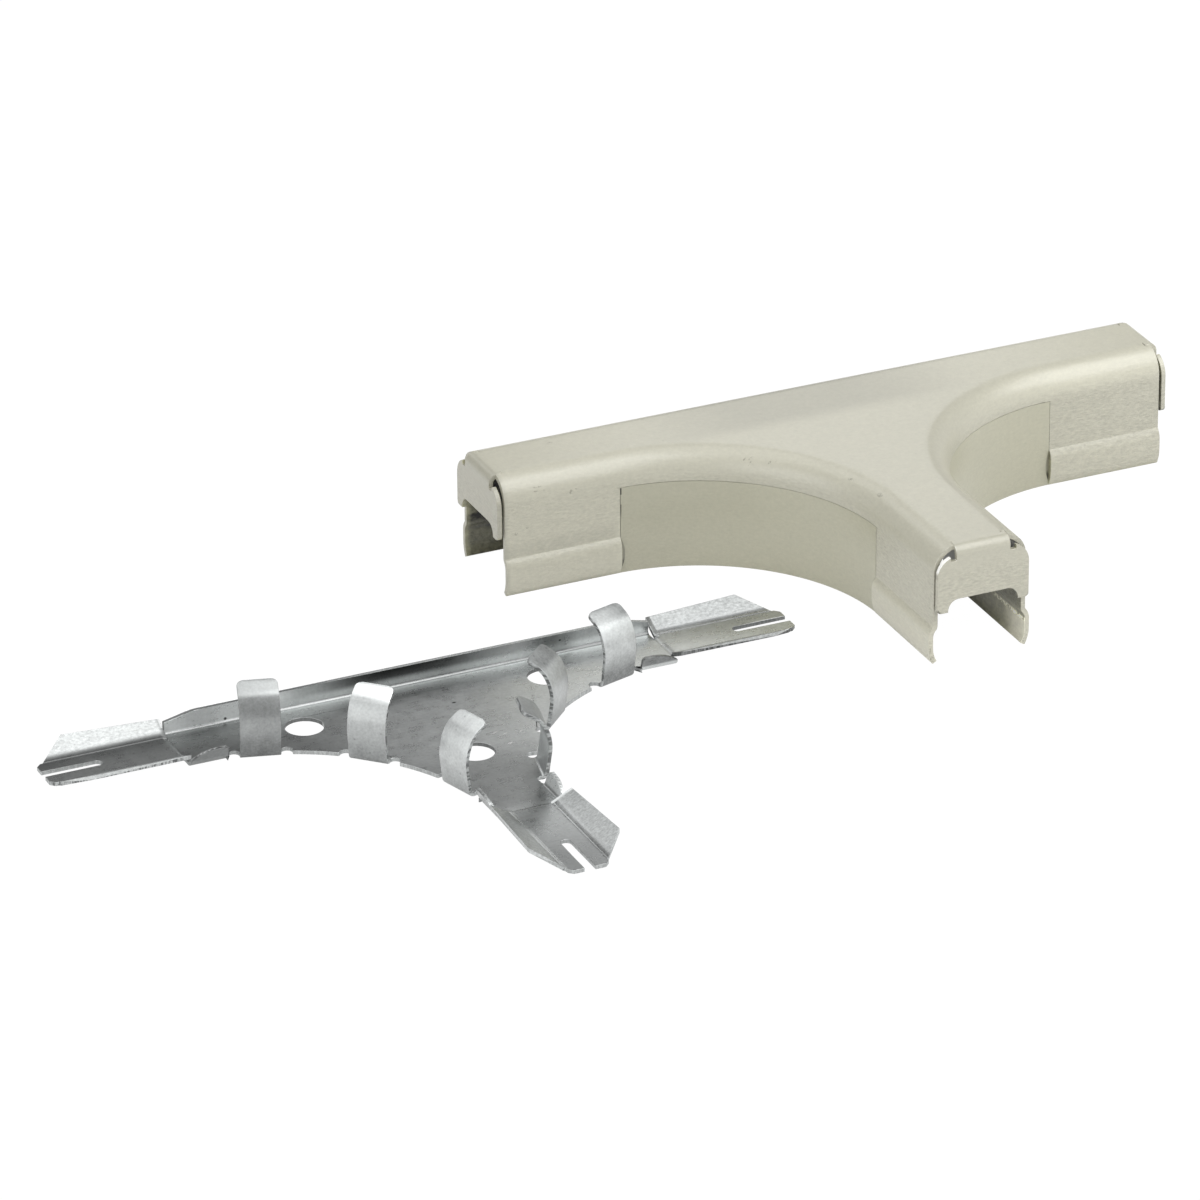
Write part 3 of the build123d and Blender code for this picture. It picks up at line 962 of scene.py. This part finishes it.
def strip_rule(sizes):
    """Curved strips welded into both throats: a rounded band swept along a quarter circle."""
    inputs = {
        "Strip sheet": STRIP_SHEET,
        "Throat radius": THROAT_RADIUS,
        "Throat centre": THROAT_CENTRE,
        "Strip height": sizes.strip_height,
        "Lead-in": sizes.strip_lead_in,
        "Edge rounding": sizes.strip_rounding,
        "Finish": None,
    }
    g = Rule("throat strips", inputs)
    middle = g.size("Throat radius") + g.size("Strip sheet") * 0.5
    start = (g.size("Lead-in") / middle).math("ARCSINE")
    sweep = math.pi / 2 - start * 2.0
    line, along = g.line(STRIP_POINTS)
    angle = along * sweep + start
    centre, height = g.size("Throat centre"), g.size("Strip height")
    line = g.moved(line, centre - middle * angle.cos(), middle * angle.sin() - centre, height * 0.5)
    band = g.swept(line, g.size("Strip sheet"), height, g.size("Edge rounding"))
    points = g.node("GeometryNodePoints", None, {"Count": THROATS})
    turn = g.node("GeometryNodeInputIndex") * (-math.pi / 2)
    return g.ended(g.clad(g.set_out(points, band, turn, COVER_CENTRE), "Finish"))


def outward(piece, angle=30.0):
    """Faces turned outwards, smooth but for their sharp edges."""
    bm = bmesh.new()
    bm.from_mesh(piece.data)
    bmesh.ops.recalc_face_normals(bm, faces=bm.faces)
    for face in bm.faces:
        face.smooth = True
    for edge in bm.edges:
        edge.smooth = not (edge.is_manifold and edge.calc_face_angle(0.0) > math.radians(angle))
    bm.to_mesh(piece.data)
    bm.free()


# Settings


def colour_setting(name, description, default):
    """A colour of the panel."""
    return FloatVectorProperty(
        name=name, description=description, default=default, subtype="COLOR", size=3, min=0.0, max=1.0
    )


def length_setting(name, description, millimetres):
    """A length of the panel, with its default in millimetres."""
    return FloatProperty(name=name, description=description, default=millimetres * MM, unit="LENGTH")


def angle_setting(name, description, degrees):
    """An angle of the panel, with its default in degrees."""
    turn = math.radians(degrees)
    return FloatProperty(name=name, description=description, default=turn, unit="ROTATION")


def power_setting(name, description, watts):
    """The power of a lamp."""
    return FloatProperty(name=name, description=description, default=watts, unit="POWER")


def plain_setting(name, description, default):
    """A plain number of the panel."""
    return FloatProperty(name=name, description=description, default=default)


class TeeSettings(bpy.types.PropertyGroup):
    """Sizes and colours of the tee's two pieces."""

    paint: colour_setting("Paint", "Colour of the cover's enamel", (0.495, 0.482, 0.392))
    zinc: colour_setting("Plating", "Colour of the base's plating", (0.632, 0.652, 0.648))
    zinc_roughness: FloatProperty(
        name="Plating roughness", description="How dull the plating is", default=0.29, min=0.0, max=1.0
    )
    edge_rounding: length_setting("Edge rounding", "Rounding of the sheet's edges", 0.12)
    strip_height: length_setting("Strip height", "Height of the throat strips", 18.3)
    strip_lead_in: length_setting("Strip lead-in", "Straight wall left beside each end of a strip", 1.22)
    strip_rounding: length_setting("Strip rounding", "Rounding along a strip's edges", 0.22)
    finger_width: length_setting("Finger width", "Width of a spring finger", 7.7)
    finger_lean: angle_setting("Lean", "Outward lean of a finger's upright", 7.9)
    finger_upright: length_setting("Upright", "Straight part of a finger", 4.1)
    curl_radius: length_setting("Curl radius", "Inside radius of a finger's curl", 8.8)
    curl_angle: angle_setting("Curl angle", "Turn of the curl past upright", 29.0)
    hook_radius: length_setting("Hook radius", "Inside radius of the hooked end", 4.0)
    hook_angle: angle_setting("Hook angle", "Turn of the hooked end", 33.3)
    finger_tip: length_setting("Tip", "Straight end of a finger", 2.4)
    finger_corner: length_setting("Tip corner", "Radius of the two corners at a tip", 1.2)
    ring_radius: length_setting("Ring radius", "Radius of the arc the fingers stand on", 40.4)
    first_angle: angle_setting("First angle", "Angle of the finger nearest the run", 16.3)
    angle_step: angle_setting("Angle step", "Angle between fingers", 28.65)
    last_shift: angle_setting("Last shift", "Turn of the last right finger from its even place", -1.2)
    last_twist: angle_setting("Last twist", "Twist of that finger on its root", 5.0)


class StageSettings(bpy.types.PropertyGroup):
    """Floor, lamps, sky and lens."""

    floor_size: FloatProperty(name="Floor", description="Side of the floor", default=30.0, unit="LENGTH")
    sky_low: plain_setting("Low sky", "Brightness of the sky at the horizon", 0.10)
    sky_high: plain_setting("High sky", "Brightness of the sky overhead", 0.30)
    sky_sides: plain_setting("Sides", "Glow of the low sky at the left and right", 0.85)
    sky_front: plain_setting("Front", "Glow of the low sky at the front", 0.45)
    overhead_power: power_setting("Overhead lamp", "Power of the soft box above", 5.6)
    key_power: power_setting("Key lamp", "Power of the soft box at the front right", 9.6)
    fill_power: power_setting("Fill lamp", "Power of the soft box at the left", 3.4)
    card_power: power_setting("Card", "Power of the small box behind the base", 0.07)
    back_power: power_setting("Back lamp", "Power of the box at the back left", 0.4)
    focal_length: FloatProperty(
        name="Focal length", description="Lens of the camera, in millimetres", default=240.232, min=1.0
    )


# Stage


def floor_finish():
    """White floor: all but a little of it glows to the camera and half of it glows in reflections."""
    m = Material("studio floor")
    diffuse = m.node("ShaderNodeBsdfDiffuse", None, {"Color": FLOOR_GREY})
    glow = m.node("ShaderNodeEmission", None, {"Color": WHITE, "Strength": 1.03})
    path = m.node("ShaderNodeLightPath", None, (), "Is Camera Ray")
    seen = path * 0.97
    seen = seen.high(path.output("Is Glossy Ray") * 0.45).high(path.output("Is Transmission Ray") * 0.9)
    both = m.node("ShaderNodeMixShader", None, (seen, diffuse, glow))
    m.node("ShaderNodeOutputMaterial", None, {"Surface": both})
    return m.material


def soft_box(name, strength, place, aim, wide, tall, roll):
    """Rectangular area lamp that faces a point, rolled about its own axis."""
    lamp = bpy.data.lights.new(name, "AREA")
    lamp.shape = "RECTANGLE"
    lamp.size = wide
    lamp.size_y = tall
    lamp.energy = strength
    box = bpy.data.objects.new(name, lamp)
    box.location = place
    box.rotation_mode = "QUATERNION"
    facing = (Vector(aim) - Vector(place)).to_track_quat("-Z", "Y")
    box.rotation_quaternion = facing @ Matrix.Rotation(math.radians(roll), 3, "Z").to_quaternion()
    bpy.context.scene.collection.objects.link(box)


def sky(stage):
    """Plain sky that is brighter overhead and low down at the sides."""
    world = bpy.data.worlds.new("studio sky")
    world.use_nodes = True
    bpy.context.scene.world = world
    g = Graph(world.node_tree)
    across, along, height = g.axes(g.node("ShaderNodeTexCoord", None, (), "Generated"))
    up = height.clamp()
    front = (-along).clamp()
    ahead = front * front * (1.0 - up * up) + 1.7 * front * up
    glow = across * across * stage.sky_sides * (1.0 - up) + ahead * stage.sky_front
    strength = stage.sky_low + up * (stage.sky_high - stage.sky_low) + glow
    shade = g.node("ShaderNodeBackground", None, {"Color": WHITE, "Strength": strength})
    g.node("ShaderNodeOutputWorld", None, {"Surface": shade})


def camera(stage):
    """Camera at the photographed view, set from its bearing to the cover's crossing point."""
    azimuth, elevation, roll = (math.radians(turn) for turn in (VIEW_AZIMUTH, VIEW_ELEVATION, VIEW_ROLL))
    away = math.cos(elevation)
    back = Vector((math.sin(azimuth) * away, -math.cos(azimuth) * away, math.sin(elevation)))
    right = Vector((math.cos(azimuth), math.sin(azimuth), 0.0))
    up = back.cross(right)
    turned_right = right * math.cos(roll) + up * math.sin(roll)
    turned_up = up * math.cos(roll) - right * math.sin(roll)
    lens = bpy.data.cameras.new("photograph view")
    lens.lens = stage.focal_length
    lens.sensor_width = FILM_WIDTH
    lens.clip_start = 0.1
    lens.clip_end = 60.0
    eye = bpy.data.objects.new("photograph view", lens)
    axes = Matrix((turned_right, turned_up, back)).transposed()
    place = COVER_CENTRE + axes @ Vector(VIEW_PLACE)
    eye.matrix_world = Matrix.Translation(place) @ axes.to_4x4()
    bpy.context.scene.collection.objects.link(eye)
    bpy.context.scene.camera = eye


class SetStage(bpy.types.Operator):
    """Floor, sky, soft boxes and the camera"""

    bl_idname = "tee.set_stage"
    bl_label = "Stage"

    def execute(self, context):
        stage = context.scene.tee_stage
        context.scene.view_settings.view_transform = "Standard"
        camera(stage)
        sky(stage)
        for name, strength, *rest in SOFT_BOXES:
            soft_box(name, getattr(stage, strength), *rest)
        bm = bmesh.new()
        half = stage.floor_size / 2
        # The floor lies a hair below the parts, so that it doesn't flicker through their feet.
        corners = ((-half, -half), (half, -half), (half, half), (-half, half))
        bm.faces.new([bm.verts.new((x, y, -2 * HAIR)) for x, y in corners])
        floor = piece_from(bm, "studio_floor", [floor_finish()])
        return {"FINISHED"}


# Pieces


class AddCover(bpy.types.Operator):
    """Painted cover: top with drawn shoulders, beaded walls and end flaps"""

    bl_idname = "tee.add_cover"
    bl_label = "Cover"

    def execute(self, context):
        sizes = context.scene.tee
        bm = sheet_copy("cover", COVER_SHEET)
        quads(bm)
        # The cover is painted all over, its edges too.
        for face in bm.faces:
            face.material_index = 0
        piece = piece_from(bm, "tee_cover", [cover_finish(sizes)])
        finish_edges(piece, sizes.edge_rounding)
        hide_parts("cover")
        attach(piece, "root")
        return {"FINISHED"}


class AddThroatStrips(bpy.types.Operator):
    """Curved strips welded under the shoulders of both throats"""

    bl_idname = "tee.add_throat_strips"
    bl_label = "Throat strips"

    def execute(self, context):
        sizes = context.scene.tee
        piece = strip_rule(sizes).run("throat_strips", {"Finish": strip_finish(sizes)})
        outward(piece)
        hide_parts("right_throat_strip", "left_throat_strip")
        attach(piece, "root")
        return {"FINISHED"}


def finger_frames(sizes):
    """Root and heading of each finger, in the shared frame."""
    frames = []
    for side in (-1, 1):
        for number in range(FINGERS):
            last = side > 0 and number == FINGERS - 1
            angle = sizes.first_angle + number * sizes.angle_step + last * sizes.last_shift
            across, down = math.sin(angle), math.cos(angle)
            along = side * (THROAT_CENTRE - sizes.ring_radius * across)
            place = Vector((along, sizes.ring_radius * down - THROAT_CENTRE, 0.0))
            out = Vector((side * across, -down, 0.0))
            twist = Matrix.Rotation(last * sizes.last_twist, 3, "Z")
            frames.append((BASE_CENTRE + place, twist @ out))
    return frames


def finger_test(sizes):
    """Test of whether a face of the base's solid belongs to a finger."""
    frames = finger_frames(sizes)
    half = sizes.finger_width / 2 + 0.05 * MM
    # A finger goes forward from its root bend. Its curl also leans back over the plate.
    bend, curl, front = HAIR - BEND_OUTSIDE, -8.0 * MM, 3.0 * MM
    above_plate = 1.5 * MM

    def in_finger(face):
        middle = face.calc_center_median()
        back = curl if middle.z > above_plate else bend
        for place, out in frames:
            away = middle - place
            beside = away.dot(Vector((-out.y, out.x, 0.0)))
            if back < away.dot(out) < front and abs(beside) < half:
                return True
        return False

    return in_finger


class AddBasePlate(bpy.types.Operator):
    """Plated base: plate, back flange, ears and three tongues"""

    bl_idname = "tee.add_base_plate"
    bl_label = "Base plate"

    def execute(self, context):
        sizes = context.scene.tee
        bm = sheet_copy("base", BASE_SHEET, finger_test(sizes))
        quads(bm)
        piece = piece_from(bm, "base_plate", [zinc_finish(sizes), sheared_finish(sizes)])
        finish_edges(piece, sizes.edge_rounding)
        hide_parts("base")
        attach(piece, "root")
        return {"FINISHED"}


class AddSpringFingers(bpy.types.Operator):
    """Six spring fingers that stand round the base's throats"""

    bl_idname = "tee.add_spring_fingers"
    bl_label = "Spring fingers"

    def execute(self, context):
        sizes = context.scene.tee
        edge = sheared_finish(sizes, "sheared finger edge", 0.82, (500.0, 500.0, 1800.0), 0.55)
        finishes = {"Broad finish": finger_finish(sizes), "Edge finish": edge}
        piece = finger_rule(sizes).run("spring_fingers", finishes)
        outward(piece)
        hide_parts("base")
        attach(piece, "root")
        return {"FINISHED"}


OPERATORS = (SetStage, AddCover, AddThroatStrips, AddBasePlate, AddSpringFingers)


class TeePanel(bpy.types.Panel):
    """Lists the tee's pieces and their settings"""

    bl_idname = "VIEW3D_PT_raceway_tee"
    bl_label = "Raceway tee"
    bl_space_type = "VIEW_3D"
    bl_region_type = "UI"
    bl_category = "Raceway tee"

    def draw(self, context):
        layout = self.layout
        for operator in OPERATORS:
            layout.operator(operator.bl_idname)
        for group in (context.scene.tee, context.scene.tee_stage):
            column = layout.column()
            for name in group.__annotations__:
                column.prop(group, name)


CLASSES = (TeeSettings, StageSettings, *OPERATORS, TeePanel)


def register():
    for each in CLASSES:
        bpy.utils.register_class(each)
    bpy.types.Scene.tee = PointerProperty(type=TeeSettings)
    bpy.types.Scene.tee_stage = PointerProperty(type=StageSettings)


def unregister():
    del bpy.types.Scene.tee_stage
    del bpy.types.Scene.tee
    for each in reversed(CLASSES):
        bpy.utils.unregister_class(each)


def main():
    register()
    bpy.ops.tee.set_stage()
    bpy.ops.tee.add_cover()
    bpy.ops.tee.add_throat_strips()
    bpy.ops.tee.add_base_plate()
    bpy.ops.tee.add_spring_fingers()


if __name__ == "__main__":
    main()
